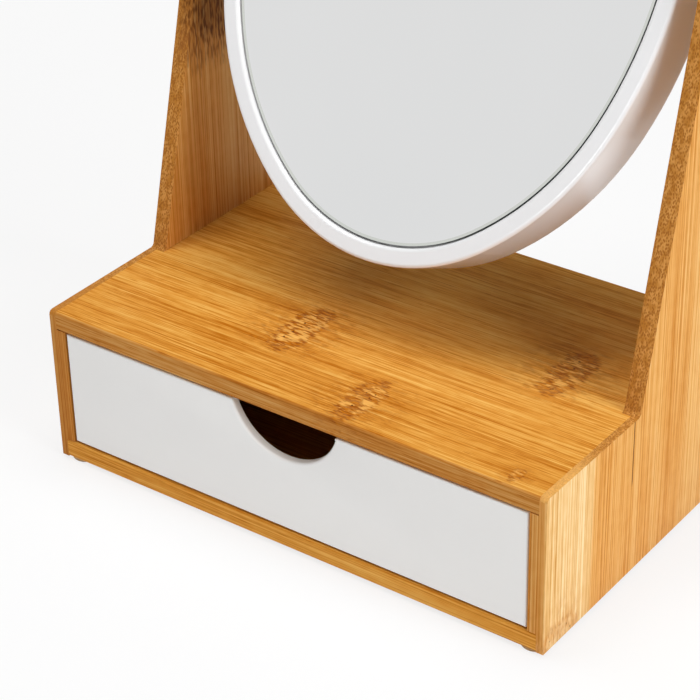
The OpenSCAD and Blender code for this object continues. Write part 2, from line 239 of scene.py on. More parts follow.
def crack_mask(tree, places, wobble, across, low, high, width):
    """1 along a fine crack between two strips."""
    off = calc(tree, "ABSOLUTE", calc(tree, "ADD", calc(tree, "SUBTRACT", places[0], across), wobble))
    line = between(tree, off, CRACK_CORE * width, width, 1.0, 0.0)
    return both(tree, line, inside(tree, places[2], low, high, CRACK_FADE))


# %% [markdown]
# A cane joint is where the fibres wander. It shows as a band of short pale fibre stubs, with brown between
# and around them, a few small dark pits, and a brownish halo that fades along the fibres. The brown between
# the stubs is partly the joint's own colour and partly painted shade in the grooves between the stubs. All of
# this could be drawn by hand in an image, but noise keeps it sharp from any distance. Each grain below is a
# width across the fibres and a length along them, in millimetres, and a shift that keeps it apart from the
# others.

# %% Textures that joints share
RIM_GRAIN = (1.1, 5.0, 0.0)
RIM_RAGGEDNESS = 2.2
STUB_GRAIN = (0.95, 4.5, 7.0)
FLECK_GRAIN, FLECK_EDGES = (0.8, 2.6, 5.0), (0.4, 0.6)
BLOTCH_GRAIN = (2.4, 6.0, 3.0)
PIT_GRAIN, PIT_EDGES = (3.4, 3.4, 0.0), (0.1, 0.17)


def marks(tree, places):
    """The textures that all joints of a board share: ragged rims, fibre stubs, flecks, blotches and pits."""
    rim = noise(tree, stretched(tree, places, *RIM_GRAIN), 1.0, 2.0, 0.6)
    rim = calc(tree, "MULTIPLY", calc(tree, "SUBTRACT", rim, 0.5), RIM_RAGGEDNESS)
    stubs = noise(tree, stretched(tree, places, *STUB_GRAIN), 1.0, 1.0)
    flecks = between(tree, noise(tree, stretched(tree, places, *FLECK_GRAIN), 1.0), *FLECK_EDGES)
    blotches = noise(tree, stretched(tree, places, *BLOTCH_GRAIN), 1.0, 3.0, 0.6)
    cells = add(tree, "TexVoronoi", {"Vector": stretched(tree, places, *PIT_GRAIN), "Scale": 1.0})
    pits = between(tree, cells.outputs["Distance"], *PIT_EDGES, 1.0, 0.0)
    return {"rim": rim, "stubs": stubs, "flecks": flecks, "blotches": blotches, "pits": pits}


# %% [markdown]
# The parts of a joint lie one over another: the halo first, then the band of stubs, browner at its rim and at
# the tips of its fibres, and the pits last. A reach is a part's size as a share of the joint's, across and
# along. A share says how strongly a part covers what lies under it.

# %% Cane joints
HALO_REACH, HALO_SOFTNESS, HALO_SHARE = (1.15, 2.6), 0.95, 0.5
HALO_EDGES = (0.38, 0.62)
CORE_REACH = (0.8, 0.72)
TIPS_REACH, TIPS_SHARE = (0.72, 2.0), 0.8
STUB_EDGES, STUB_SHARE, STUB_PALENESS = (0.4, 0.56), 0.95, 0.7
GAP_BROWN_AND_SHADE_SHARE = 0.85
RIM_CLOUDS, RIM_SHARE = 0.75, 0.1
STUB_RELIEF, PIT_RELIEF = 0.6, 1.4


def grown(box, reach):
    """A patch's box with its half sizes multiplied, across and along."""
    across, along, half_across, half_along = box
    return across, along, reach[0] * half_across, reach[1] * half_along


def cane_joint(tree, places, drawn, colour, height, box, tones, strength, brownness):
    """Draws a joint over a board's colour and height. tones are its stubs, its two browns and its pits."""
    pale, light_brown, dark_brown, pit_tone = [linear(*tone) for tone in tones]
    brown = mix(tree, drawn["flecks"], light_brown, dark_brown)
    halo = patch(tree, places, grown(box, HALO_REACH), drawn["rim"], HALO_SOFTNESS)
    halo = both(tree, halo, between(tree, drawn["blotches"], *HALO_EDGES))
    colour = mix(tree, both(tree, halo, HALO_SHARE * strength), colour, brown)
    band = patch(tree, places, box, drawn["rim"])
    core = patch(tree, places, grown(box, CORE_REACH), drawn["rim"])
    stub = between(tree, drawn["stubs"], *STUB_EDGES)
    stub_tone = mix(tree, STUB_PALENESS, colour, pale)
    # Between the stubs the band goes brown: partly the joint's colour, partly painted shade in the grooves
    # between stubs.
    fibres = mix(tree, both(tree, stub, STUB_SHARE), mix(tree, GAP_BROWN_AND_SHADE_SHARE, colour, brown), stub_tone)
    cloudy = between(tree, drawn["blotches"], *STUB_EDGES)
    tips = patch(tree, places, grown(box, TIPS_REACH), drawn["rim"])
    rim_brown = calc(tree, "MULTIPLY_ADD", cloudy, RIM_CLOUDS, RIM_SHARE)
    edges = both(tree, calc(tree, "SUBTRACT", 1.0, core), rim_brown)
    ends = both(tree, calc(tree, "SUBTRACT", 1.0, tips), TIPS_SHARE)
    blotch = calc(tree, "MAXIMUM", both(tree, cloudy, brownness), calc(tree, "MAXIMUM", edges, ends))
    fibres = mix(tree, blotch, fibres, brown)
    colour = mix(tree, both(tree, band, strength), colour, fibres)
    pit = both(tree, core, drawn["pits"])
    colour = mix(tree, both(tree, pit, strength), colour, pit_tone)
    sunk = both(tree, band, calc(tree, "SUBTRACT", stub, 1.0))
    relief = calc(tree, "SUBTRACT", both(tree, sunk, STUB_RELIEF), both(tree, pit, PIT_RELIEF))
    return colour, calc(tree, "ADD", height, relief)


# %% [markdown]
# The photograph also shows a patch that looks burnt, on the inner face of the left upright. Such a patch is
# larger and softer than a joint, follows the fibres, and here it goes only so deep into the board.

# %% Burnt patch
BURNT_RAGGEDNESS, BURNT_SOFTNESS = 1.6, 0.75
STREAK_EDGES, STREAK_SHARE = (0.36, 0.6), 0.5
BLACK_SHIFT, BLACK_REACH, BLACK_SOFTNESS = (3.0, 2.0), (0.75, 0.7), 0.7


def dark_patch(tree, places, drawn, colour, box, tones, ply, strength):
    """Darkens a large burnt-looking patch along the fibres. ply is where it fades through the board."""
    rim_tone, core_tone = [linear(*tone) for tone in tones]
    ragged = calc(tree, "MULTIPLY", calc(tree, "SUBTRACT", drawn["stubs"], 0.5), BURNT_RAGGEDNESS)
    streaky = between(tree, drawn["stubs"], *STREAK_EDGES, 1.0, 0.0)
    streaky = calc(tree, "MULTIPLY_ADD", streaky, STREAK_SHARE, 1 - STREAK_SHARE)
    streaky = both(tree, streaky, between(tree, places[1], *ply))
    wide = patch(tree, places, box, ragged, BURNT_SOFTNESS)
    colour = mix(tree, both(tree, wide, streaky, strength), colour, rim_tone)
    across, along, half_across, half_along = grown(box, BLACK_REACH)
    black_box = (across + BLACK_SHIFT[0], along + BLACK_SHIFT[1], half_across, half_along)
    core = patch(tree, places, black_box, ragged, BLACK_SOFTNESS)
    return mix(tree, both(tree, core, streaky, strength), colour, core_tone)


# %% [markdown]
# The board itself is layers of streaks, from hair-fine dashes to broad clouds, stretched along the fibres.
# They are added up to one tone that picks a colour between the board's dark and light fibres. A layer's width
# is in millimetres, and its stretch is its length as a share of the board's streaks. The cut ends of the
# fibres are drawn last, only on faces that cross the fibres.

# %% Fibres and their cut ends
FINE_WIDTH, MIDDLE_WIDTH, CLOUD_WIDTH, DASH_WIDTH = 0.58, 0.95, 7.0, 0.5
MIDDLE_STRETCH, CLOUD_STRETCH, DASH_STRETCH = 2.5, 5.0, 0.35
MOTTLE_GRAIN = (3.0, 6.0)
DASH_EDGES, DASH_STEP = (0.64, 0.76), 9.0
FINE_SHARE, MIDDLE_SHARE, CLOUD_SHARE, MOTTLE_SHARE = 0.85, 0.68, 0.3, 0.16
DASH_SHARE, STRIP_SHARE = 0.25, 0.09
DOT_GRAIN, DOT_SCATTER, DOT_EDGES = (0.62, 1.3, 0.0), 0.9, (0.2, 0.66)
GROUND_GRAIN, GROUND_EDGES = (2.0, 5.0, 0.0), (0.35, 0.65)
DOT_RELIEF = -0.8


def fibre_tone(tree, places, shift, chance, streaks):
    """The tone of the fibres, around one half, and the fine part of it, which also roughens the surface."""
    fine = noise(tree, stretched(tree, places, FINE_WIDTH, streaks, shift), 1.0, 2.0, 0.6)
    middle = stretched(tree, places, MIDDLE_WIDTH, MIDDLE_STRETCH * streaks, shift)
    middle = noise(tree, middle, 1.0, 2.0, 0.55)
    cloud = noise(tree, stretched(tree, places, CLOUD_WIDTH, CLOUD_STRETCH * streaks, shift), 1.0)
    mottle = noise(tree, stretched(tree, places, *MOTTLE_GRAIN, shift), 1.0)
    tone = calc(tree, "MULTIPLY_ADD", calc(tree, "SUBTRACT", fine, 0.5), FINE_SHARE, 0.5)
    for layer, share in ((middle, MIDDLE_SHARE), (cloud, CLOUD_SHARE), (mottle, MOTTLE_SHARE)):
        tone = calc(tree, "MULTIPLY_ADD", calc(tree, "SUBTRACT", layer, 0.5), share, tone)
    dash = stretched(tree, places, DASH_WIDTH, DASH_STRETCH * streaks, shift, DASH_STEP)
    dash = between(tree, noise(tree, dash, 1.0, 1.0), *DASH_EDGES)
    tone = calc(tree, "SUBTRACT", tone, both(tree, dash, DASH_SHARE))
    return calc(tree, "MULTIPLY_ADD", calc(tree, "SUBTRACT", chance, 0.5), STRIP_SHARE, tone), fine


def cut_ends(tree, places, ends):
    """The colour and height of cut fibres: dense dots on a duller ground."""
    place = stretched(tree, places, *DOT_GRAIN)
    cells = add(tree, "TexVoronoi", {"Vector": place, "Scale": 1.0, "Randomness": DOT_SCATTER})
    dot = between(tree, cells.outputs["Distance"], *DOT_EDGES, 1.0, 0.0)
    cloud = between(tree, noise(tree, stretched(tree, places, *GROUND_GRAIN), 1.0, 3.0), *GROUND_EDGES)
    ground = mix(tree, cloud, linear(*ends[0]), linear(*ends[1]))
    return mix(tree, dot, ground, linear(*ends[2])), calc(tree, "MULTIPLY", dot, DOT_RELIEF)


# %% [markdown]
# A board's finish puts these layers together. Some strips of a board are paler or darker than the rest,
# which tints the grain and leaves it visible. The cut ends at the front of a side board can have a tone of
# their own, because in the photograph they differ from the rest.

# %% Bamboo board
DARK_AT, MIDDLE_AT, LIGHT_AT = 0.26, 0.5, 0.76
LIP_FADE = (-78.0, -54.0)
CRACK_TONE = (70, 34, 6)
CRACK_WOBBLE, CRACK_RELIEF = 0.8, 2.0
STRIP_FADE, PLY_FADE = 0.5, 0.1
STRIP_SHIFT = 40.0
LOW_ROUGHNESS, HIGH_ROUGHNESS = 0.42, 0.55
WOOD_SHINE = 0.05
FIBRE_RELIEF = 0.00006


def tinted_strips(tree, places, colour, middle_tone, strips):
    """Colours some strips. Each has its edges across, its edges through the board, its strength and tone."""
    for low, high, ply_low, ply_high, share, strip_tone in strips:
        strip_mask = both(tree, inside(tree, places[0], low, high, STRIP_FADE), share)
        layer = inside(tree, places[1], ply_low, ply_high, PLY_FADE)
        tint = [wanted / own for wanted, own in zip(linear(*strip_tone), linear(*middle_tone))]
        toned = mix(tree, 1.0, colour, tint, "MULTIPLY")
        colour = mix(tree, both(tree, strip_mask, layer), colour, toned)
    return colour


def fibre_colour(tree, tone, tones):
    """The colour of a tone, between a board's dark, middle and light fibres."""
    ramp = add(tree, "ValToRGB", {0: tone})
    ramp.color_ramp.elements[0].position = DARK_AT
    ramp.color_ramp.elements[0].color = linear(*tones[0])
    ramp.color_ramp.elements[1].position = LIGHT_AT
    ramp.color_ramp.elements[1].color = linear(*tones[2])
    ramp.color_ramp.elements.new(MIDDLE_AT).color = linear(*tones[1])
    return ramp.outputs[0]


def bamboo(
    name, along, across, strip, first_edge, tones, ends,
    joints=(), burnt=(), cracks=(), strips=(), lip=None, streaks=60.0, seed=0.0,
):
    """A bamboo board's finish, from its fibre and strip directions to the marks that this one board has.

    strip is the width of its strips and first_edge the place of one glue line, in millimetres. tones are its
    dark, middle and light fibres, and ends the two grounds and the dots of its cut fibres. joints, burnt,
    cracks and strips are the marks, each with the values that its own function takes. lip is a tone for the
    cut ends at the front and its strength. streaks is how long the fibres look, in millimetres, and seed
    gives the board its own strips.
    """
    finish, tree, surface = new_finish(name)
    places, end = board_place(tree, along, across)
    strip_place = calc(tree, "DIVIDE", calc(tree, "SUBTRACT", places[0], first_edge), strip)
    strip_number = calc(tree, "FLOOR", calc(tree, "ADD", strip_place, seed))
    chance = add(tree, "TexWhiteNoise", {"W": strip_number}, noise_dimensions="1D").outputs[0]
    shift = calc(tree, "MULTIPLY", chance, STRIP_SHIFT)
    tone, fine = fibre_tone(tree, places, shift, chance, streaks)
    colour = tinted_strips(tree, places, fibre_colour(tree, tone, tones), tones[1], strips)
    height = fine
    cut, cut_height = cut_ends(tree, places, ends)
    if lip:
        cut = mix(tree, between(tree, places[0], *LIP_FADE, lip[1], 0.0), cut, linear(*lip[0]))

    drawn = marks(tree, places) if joints or burnt else None
    for joint in joints:
        colour, height = cane_joint(tree, places, drawn, colour, height, *joint)
    for patch_of_brown in burnt:
        colour = dark_patch(tree, places, drawn, colour, *patch_of_brown)
        cut = dark_patch(tree, places, drawn, cut, *patch_of_brown)
    wobble = calc(tree, "MULTIPLY", calc(tree, "SUBTRACT", fine, 0.5), CRACK_WOBBLE)
    for crack in cracks:
        mask = crack_mask(tree, places, wobble, *crack)
        colour = mix(tree, mask, colour, linear(*CRACK_TONE))
        height = calc(tree, "SUBTRACT", height, calc(tree, "MULTIPLY", mask, CRACK_RELIEF))

    tree.links.new(mix(tree, end, colour, cut), surface.inputs["Base Color"])
    gloss = between(tree, fine, NOISE_LOW, NOISE_HIGH, HIGH_ROUGHNESS, LOW_ROUGHNESS)
    tree.links.new(gloss, surface.inputs["Roughness"])
    surface.inputs["Specular IOR Level"].default_value = WOOD_SHINE
    relief = add(tree, "Mix", {0: end, 2: height, 3: cut_height}).outputs[0]
    bump(tree, surface, relief, FIBRE_RELIEF)
    return finish


# %% [markdown]
# ### The boards' finishes
# The side boards stand with their fibres upright, so the leaning fronts of the uprights and the tops of the
# sides show fibre ends, while the upright front edges show fibres. The right board has a pale strip at its
# front with a worn, pale joint at its foot, and a fine crack below the notch. The left upright has the burnt
# patch. The front edges of the side boards and of the top board are darker than their faces. At the front
# of the sides' tops the cut fibres are darker on the left board and paler on the right one.

# %% Directions and tones
X_AXIS, Y_AXIS, Z_AXIS = 0, 1, 2
SIDE_TONES = ((204, 129, 45), (233, 170, 91), (249, 204, 133))
TOP_TONES = ((186, 108, 18), (222, 152, 60), (240, 187, 98))
END_TONES = ((188, 124, 50), (214, 152, 78), (162, 100, 38))
JOINT_TONES = ((250, 192, 102), (190, 110, 14), (142, 66, 1), (84, 34, 1))
WORN_TONES = ((255, 222, 168), (222, 156, 82), (196, 124, 52), (140, 84, 30))
BURNT_TONES = ((150, 92, 40), (96, 54, 18))
PALE_STRIP = (244, 201, 135)
EDGE_STRIP = (191, 124, 52)
PALE_LIP = (250, 192, 108)
PLY_TONES = ((190, 134, 76), (214, 162, 102), (232, 186, 130))

# %% Finishes of the side boards
side_left_bamboo = bamboo(
    "side_left_bamboo", Z_AXIS, Y_AXIS, 31.0, -62.5, SIDE_TONES, END_TONES,
    burnt=[((8.0, 164.0, 24.0, 22.0), BURNT_TONES, (-114.8, -111.5, 0.12, 1.0), 0.9)],
    strips=[(-96.0, -91.0, -116.0, -106.0, 0.9, EDGE_STRIP)],
    lip=(EDGE_STRIP, 0.6), streaks=120.0, seed=3.0,
)
side_right_bamboo = bamboo(
    "side_right_bamboo", Z_AXIS, Y_AXIS, 31.0, -62.5, SIDE_TONES, END_TONES,
    joints=[((-83.0, 3.0, 12.0, 7.0), WORN_TONES, 0.6, 0.2)],
    cracks=[(-34.4, 44.0, 70.0, 0.42)],
    strips=[(-95.0, -62.5, 114.4, 116.0, 0.85, PALE_STRIP), (-96.0, -93.3, 106.0, 114.3, 0.45, EDGE_STRIP)],
    lip=(PALE_LIP, 0.5), streaks=120.0, seed=11.0,
)

# %% [markdown]
# The top board's fibres run across the box and it has four cane joints, one of them small. The bottom board
# has the same tones. The back board and the drawer's plywood are plain, each with its own strips.

# %% Finishes of the other boards
top_joints = [
    ((-49.5, -24.0, 18.0, 7.5), JOINT_TONES, 0.95, 0.2),
    ((-78.0, 25.0, 15.0, 6.5), JOINT_TONES, 0.9, 0.75),
    ((-20.0, 78.0, 17.0, 7.5), JOINT_TONES, 0.85, 0.75),
    ((-87.0, 98.0, 4.5, 2.4), JOINT_TONES, 0.8, 0.6),
]
top_bamboo = bamboo(
    "top_bamboo", X_AXIS, Y_AXIS, 27.0, -62.0, TOP_TONES, END_TONES, top_joints,
    strips=[(-96.0, -93.4, 0.0, 80.0, 0.9, EDGE_STRIP)], streaks=26.0, seed=5.0,
)
bottom_bamboo = bamboo("bottom_bamboo", X_AXIS, Y_AXIS, 27.0, -70.0, TOP_TONES, END_TONES, seed=17.0)
back_bamboo = bamboo("back_bamboo", X_AXIS, Z_AXIS, 24.0, 10.0, SIDE_TONES, END_TONES, seed=23.0)
drawer_side_ply = bamboo("drawer_side_ply", Y_AXIS, Z_AXIS, 18.0, 5.0, PLY_TONES, END_TONES, seed=31.0)
drawer_back_ply = bamboo("drawer_back_ply", X_AXIS, Z_AXIS, 18.0, 5.0, PLY_TONES, END_TONES, seed=37.0)
drawer_bottom_ply = bamboo("drawer_bottom_ply", X_AXIS, Y_AXIS, 25.0, 0.0, PLY_TONES, END_TONES, seed=41.0)
print("finishes of wood", [finish.name for finish in bpy.data.materials])

# %% [markdown]
# ## White lacquer and white plastic
# The drawer front is lacquered: nearly matt, with the faint unevenness of a sprayed coat. The ring of the
# mirror is moulded plastic with a clear gloss, whose surface is a little wavy as mouldings are. The nylon
# bushes, the foam tapes and the foot pads are the same kind of surface with other values.

# %% Lacquer and plastic
CLOUDS_PER_METRE = 40.0
CLOUD_EDGES = (0.2, 0.8)
GLOSS_SPREAD = 0.1


def smooth_coat(name, colour, roughness, cell, depth, spread=0.03, coat=0.0, coat_roughness=0.05):
    """An even coat with slight clouds in its colour and gloss, and a faint unevenness of cell metres."""
    finish, tree, surface = new_finish(name)
    place = add(tree, "TexCoord", {}).outputs["Object"]
    cloud = noise(tree, place, CLOUDS_PER_METRE)
    low = [channel * (1 - spread) for channel in colour[:3]] + [1.0]
    tree.links.new(mix(tree, cloud, low, colour), surface.inputs["Base Color"])
    dullness = (roughness * (1 - GLOSS_SPREAD), roughness * (1 + GLOSS_SPREAD))
    uneven = between(tree, cloud, *CLOUD_EDGES, *dullness)
    tree.links.new(uneven, surface.inputs["Roughness"])
    surface.inputs["Coat Weight"].default_value = coat
    surface.inputs["Coat Roughness"].default_value = coat_roughness
    bump(tree, surface, noise(tree, place, 1 / cell), depth)
    return finish


white_lacquer = smooth_coat("white_lacquer", linear(243, 242, 240), 0.42, 0.0012, 0.00002)
ring_plastic = smooth_coat(
    "ring_plastic", linear(238, 238, 239), 0.3, 0.012, 0.00003, spread=0.01, coat=1.0, coat_roughness=0.15,
)
nylon = smooth_coat("nylon", linear(226, 224, 216), 0.45, 0.002, 0.00003)
foam = smooth_coat("foam", linear(214, 212, 204), 0.9, 0.0006, 0.0002, spread=0.1)
pad_finish = smooth_coat("pad_finish", linear(196, 158, 112), 0.75, 0.0008, 0.0001, spread=0.12)
print("coats", [coat.name for coat in (white_lacquer, ring_plastic, nylon, foam, pad_finish)])

# %% [markdown]
# ## Mirror glass
# A mirror is silver behind glass, so its faces are metal with almost no roughness. The cut edge of the glass
# is greenish and painted nearly black, as painted shade for the narrow gap between glass and ring. The
# direction a face looks in tells the two apart.

# %% Mirror glass
MIRROR_LEAN = math.radians(25.0)
GLASS_NORMAL = (0.0, -math.cos(MIRROR_LEAN), math.sin(MIRROR_LEAN))
FACED_LOW, FACED_HIGH = 0.6, 0.8
# The glass edge's near-black tone is painted shade for the narrow gap between glass and ring.
GAP_SHADE_EDGE_TONE = (38, 50, 46)
EDGE_ROUGHNESS = 0.3
HAZE_PER_METRE = 12.0


def silvered_glass(name, silver_low, silver_high, roughness):
    """Silver behind glass on the faces that look along the mirror, and dark ground glass on its edge, whose
    darkness is painted shade for the gap round the glass.
    """
    finish, tree, surface = new_finish(name)
    coordinates = add(tree, "TexCoord", {})
    normals = {0: coordinates.outputs["Normal"], 1: GLASS_NORMAL}
    toward = add(tree, "VectorMath", normals, operation="DOT_PRODUCT").outputs["Value"]
    faced = between(tree, calc(tree, "ABSOLUTE", toward), FACED_LOW, FACED_HIGH)
    haze = noise(tree, coordinates.outputs["Object"], HAZE_PER_METRE)
    silver = mix(tree, haze, linear(*silver_low), linear(*silver_high))
    tree.links.new(mix(tree, faced, linear(*GAP_SHADE_EDGE_TONE), silver), surface.inputs["Base Color"])
    tree.links.new(faced, surface.inputs["Metallic"])
    gloss = between(tree, faced, 0.0, 1.0, EDGE_ROUGHNESS, roughness)
    tree.links.new(gloss, surface.inputs["Roughness"])
    return finish


mirror_glass = silvered_glass("mirror_glass", (218, 219, 219), (223, 223, 223), 0.02)
ground_rim = silvered_glass("ground_rim", (200, 203, 198), (208, 210, 204), 0.22)
print("glass finishes", mirror_glass.name, ground_rim.name)

# %% [markdown]
# ## Metal
# The screws and washers are plated steel, and the inserts are brass. A tool leaves fine marks, and handling
# leaves faint stains. Noise of two sizes in the gloss and the colour stands for them, which is enough for
# pieces of a few millimetres.

# %% Metal finishes
MARKS_PER_METRE, STAINS_PER_METRE = 1500.0, 200.0
MARK_DEPTH = 0.000008
STAIN_SHADE = 0.86
SMOOTHER, ROUGHER = 0.75, 1.3


def metal(name, colour, roughness):
    """Plated or turned metal with fine marks in its gloss."""
    finish, tree, surface = new_finish(name)
    place = add(tree, "TexCoord", {}).outputs["Object"]
    tool_marks = noise(tree, place, MARKS_PER_METRE, 3.0)
    cloud = noise(tree, place, STAINS_PER_METRE)
    dull = [channel * STAIN_SHADE for channel in colour[:3]] + [1.0]
    tree.links.new(mix(tree, cloud, dull, colour), surface.inputs["Base Color"])
    surface.inputs["Metallic"].default_value = 1.0
    gloss = between(tree, tool_marks, NOISE_LOW, NOISE_HIGH, roughness * SMOOTHER, roughness * ROUGHER)
    tree.links.new(gloss, surface.inputs["Roughness"])
    bump(tree, surface, tool_marks, MARK_DEPTH)
    return finish


plated_steel = metal("plated_steel", linear(206, 206, 205), 0.26)
turned_brass = metal("turned_brass", linear(214, 178, 98), 0.3)
print("metals", plated_steel.name, turned_brass.name)

# %% [markdown]
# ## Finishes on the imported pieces
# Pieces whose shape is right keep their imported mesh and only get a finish. Each finish goes into the
# piece's one material slot.

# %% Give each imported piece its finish
finishes = {
    "left_side_board": side_left_bamboo,
    "right_side_board": side_right_bamboo,
    "top_board": top_bamboo,
    "bottom_board": bottom_bamboo,
    "back_board": back_bamboo,
    "drawer_front": white_lacquer,
    "drawer_left_side": drawer_side_ply,
    "drawer_right_side": drawer_side_ply,
    "drawer_back": drawer_back_ply,
    "drawer_bottom": drawer_bottom_ply,
    "drawer_corner_pins": plated_steel,
    "mirror_frame": ring_plastic,
    "plain_mirror_glass": mirror_glass,
    "magnifying_mirror_glass": mirror_glass,
    "plain_glass_tape": foam,
    "magnifying_glass_tape": foam,
}
for side in ("left", "right"):
    finishes[side + "_pivot_bush"] = nylon
    finishes[side + "_pivot_spacer"] = nylon
    finishes[side + "_frame_insert"] = turned_brass
    for piece in ("pivot_screw", "head_washer", "spring_washer"):
        finishes[side + "_" + piece] = plated_steel
    for row in ("front", "rear"):
        finishes[row + "_" + side + "_foot_pad"] = pad_finish

for name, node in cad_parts.items():
    node.data.materials.clear()
    node.data.materials.append(finishes[name])
print("finishes given to", len(finishes), "pieces")

# %% [markdown]
# ## Softened edges
# No sanded board has a knife-sharp edge: light catches a narrow round along it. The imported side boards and
# the drawer front are sharp there, so each is replaced with a copy whose outer edges are rounded by a
# bevel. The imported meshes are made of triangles, so the copy's flat faces are joined first. Otherwise the
# bevel would follow every triangle.

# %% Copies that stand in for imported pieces
SAME_POINT = 1e-6
FLAT_ANGLE = math.radians(1)


def joined_faces(node_name):
    """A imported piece's mesh to work on, with the triangles of each flat face joined to one."""
    work = bmesh.new()
    work.from_mesh(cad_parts[node_name].data)
    bmesh.ops.remove_doubles(work, verts=work.verts, dist=SAME_POINT)
    bmesh.ops.dissolve_limit(work, angle_limit=FLAT_ANGLE, verts=work.verts, edges=work.edges)
    work.normal_update()
    return work


def made_piece(work, piece_name, materials):
    """The piece made of a changed mesh."""
    mesh = bpy.data.meshes.new(piece_name)
    work.to_mesh(mesh)
    work.free()
    if "custom_normal" in mesh.attributes:
        mesh.attributes.remove(mesh.attributes["custom_normal"])
    for material in materials:
        mesh.materials.append(material)
    piece = bpy.data.objects.new(piece_name, mesh)
    bpy.context.scene.collection.objects.link(piece)
    print(piece_name, "faces", len(mesh.polygons))
    return piece


# %% [markdown]
# Which edges are rounded differs from piece to piece, so each piece brings its own tests of an edge. The copy
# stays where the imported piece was, and it moves with the same body.

# %% A copy with rounded edges
BEVEL_STEPS = 3
ROUND_PROFILE = 0.5
SHARP_ANGLE = math.radians(40)
SQUARE_ANGLE = math.radians(30)


def softened_copy(node_name, piece_name, rounds, body):
    """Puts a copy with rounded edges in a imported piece's place. rounds are radii and tests of an edge."""
    work = joined_faces(node_name)
    for radius, is_soft in rounds:
        work.normal_update()
        soft = [edge for edge in work.edges if len(edge.link_faces) == 2 and is_soft(edge)]
        bmesh.ops.bevel(
            work, geom=soft, affect="EDGES",
            offset=radius, segments=BEVEL_STEPS, profile=ROUND_PROFILE, clamp_overlap=True,
        )
        print(piece_name, "edges rounded by", round(MM_PER_METRE * radius, 2), "mm:", len(soft))
    for face in work.faces:
        face.smooth = True
    piece = made_piece(work, piece_name, [finishes[node_name]])
    piece.data.set_sharp_from_angle(angle=SHARP_ANGLE)
    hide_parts(node_name)
    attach(piece, body)


def faces_meet_square(edge):
    """Whether an edge's two faces meet at a clear angle, bulging outwards."""
    return edge.is_convex and edge.calc_face_angle() > SQUARE_ANGLE


# %% [markdown]
# ### Side boards
# On a side board the whole outer face is rounded along its outline. The inner face is rounded only along
# the upright, above the top board, and along the front edge beside the drawer, because the other boards fit
# tight in their housings. The upper front corner of each side is sanded rounder than the rest, and it is
# rounded first.

# %% Softened side boards
SIDE_ROUND = 0.0007
CORNER_ROUND = 0.0018
TINY = 0.00005
BORE_KEPT = 0.008
SHORTEST_CORNER = 0.002
box_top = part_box("top_board")[1].z
drawer_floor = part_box("bottom_board")[1].z
drawer_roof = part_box("top_board")[0].z

for side, outward in (("left", -1), ("right", 1)):
    low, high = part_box(side + "_side_board")
    outer_x = high.x if outward > 0 else low.x
    inner_x = low.x if outward > 0 else high.x
    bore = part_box(side + "_pivot_bush")
    pivot = (bore[0] + bore[1]) / 2

    def outline_edge(edge):
        """Edges of the outer face, and those of the inner face that nothing is fitted to."""
        middle = (edge.verts[0].co + edge.verts[1].co) / 2
        if not faces_meet_square(edge) or (middle - pivot).yz.length < BORE_KEPT:
            return False
        if all(abs(v.co.x - outer_x) < TINY for v in edge.verts):
            return True
        on_inner = all(abs(v.co.x - inner_x) < TINY for v in edge.verts)
        above_box = middle.z > box_top + TINY
        beside_drawer = middle.y < low.y + TINY and drawer_floor - TINY < middle.z < drawer_roof + TINY
        return on_inner and (above_box or beside_drawer)

    def front_corner(edge):
        """The edge between the front face and the top of the box's side."""
        in_front = all(abs(v.co.y - low.y) < TINY and v.co.z > drawer_roof for v in edge.verts)
        return in_front and edge.calc_length() > SHORTEST_CORNER

    rounds = [(CORNER_ROUND, front_corner), (SIDE_ROUND, outline_edge)]
    softened_copy(side + "_side_board", "soft_" + side + "_side_board", rounds, "stand")

# %% [markdown]
# ### Drawer front
# The lacquered front has a soft finger notch: its half-round edge is rounded, so that it doesn't cut into
# the fingers. The notch lies round the middle of the front's upper part, which is how its edges are found.

# %% Softened drawer front
NOTCH_ROUND = 0.0011
NOTCH_REACH = 0.026
BELOW_NOTCH = 0.02
TOP_EDGE = 0.0009
front_low, front_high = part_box("drawer_front")


def notch_edge(edge):
    """Edges where the half-round notch meets the front face."""
    middle = (edge.verts[0].co + edge.verts[1].co) / 2
    beside_middle = abs(middle.x) < NOTCH_REACH
    in_upper_part = front_low.z + BELOW_NOTCH < middle.z < front_high.z - TOP_EDGE
    on_face = all(abs(v.co.y - front_low.y) < TINY for v in edge.verts)
    return beside_middle and in_upper_part and on_face and faces_meet_square(edge)


softened_copy("drawer_front", "soft_drawer_front", [(NOTCH_ROUND, notch_edge)], "drawer")

# %% [markdown]
# ### The mirror glass
# A mirror glass has a narrow ground rim along its edge. It leans a little away from the face and is duller,
# so that it draws a fine pale line round the glass, and between it and the ring stays a dark gap. The
# packed glass is a plain plate. Its copy gets the rim by an inset of the face, after which the old outline
# is pushed back and drawn in. The lamps would also shine off the glass onto the ring and burn its inner
# wall out, so dull surfaces don't see the glass.

# %% Ground rim of the plain glass
RIM_WIDTH = 0.0011
RIM_DROP = 0.00012
DRAWN_IN = 0.0025

work = joined_faces("plain_mirror_glass")
face = max(work.faces, key=lambda f: f.calc_area() * f.normal.dot(Vector(GLASS_NORMAL)))
outline, normal = list(face.verts), face.normal.copy()
glass_low, glass_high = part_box("plain_mirror_glass")
glass_centre = (glass_low + glass_high) / 2
for vertex in work.verts:
    off = vertex.co - glass_centre
    vertex.co -= DRAWN_IN * (off - off.dot(normal) * normal)
rims = bmesh.ops.inset_region(work, faces=[face], thickness=RIM_WIDTH, use_even_offset=True)["faces"]
for vertex in outline:
    vertex.co -= RIM_DROP * normal
for rim in rims:
    rim.material_index = 1
print("glass outline points", len(outline), "rim faces", len(rims))
print("face looks along", [round(v, 3) for v in normal])

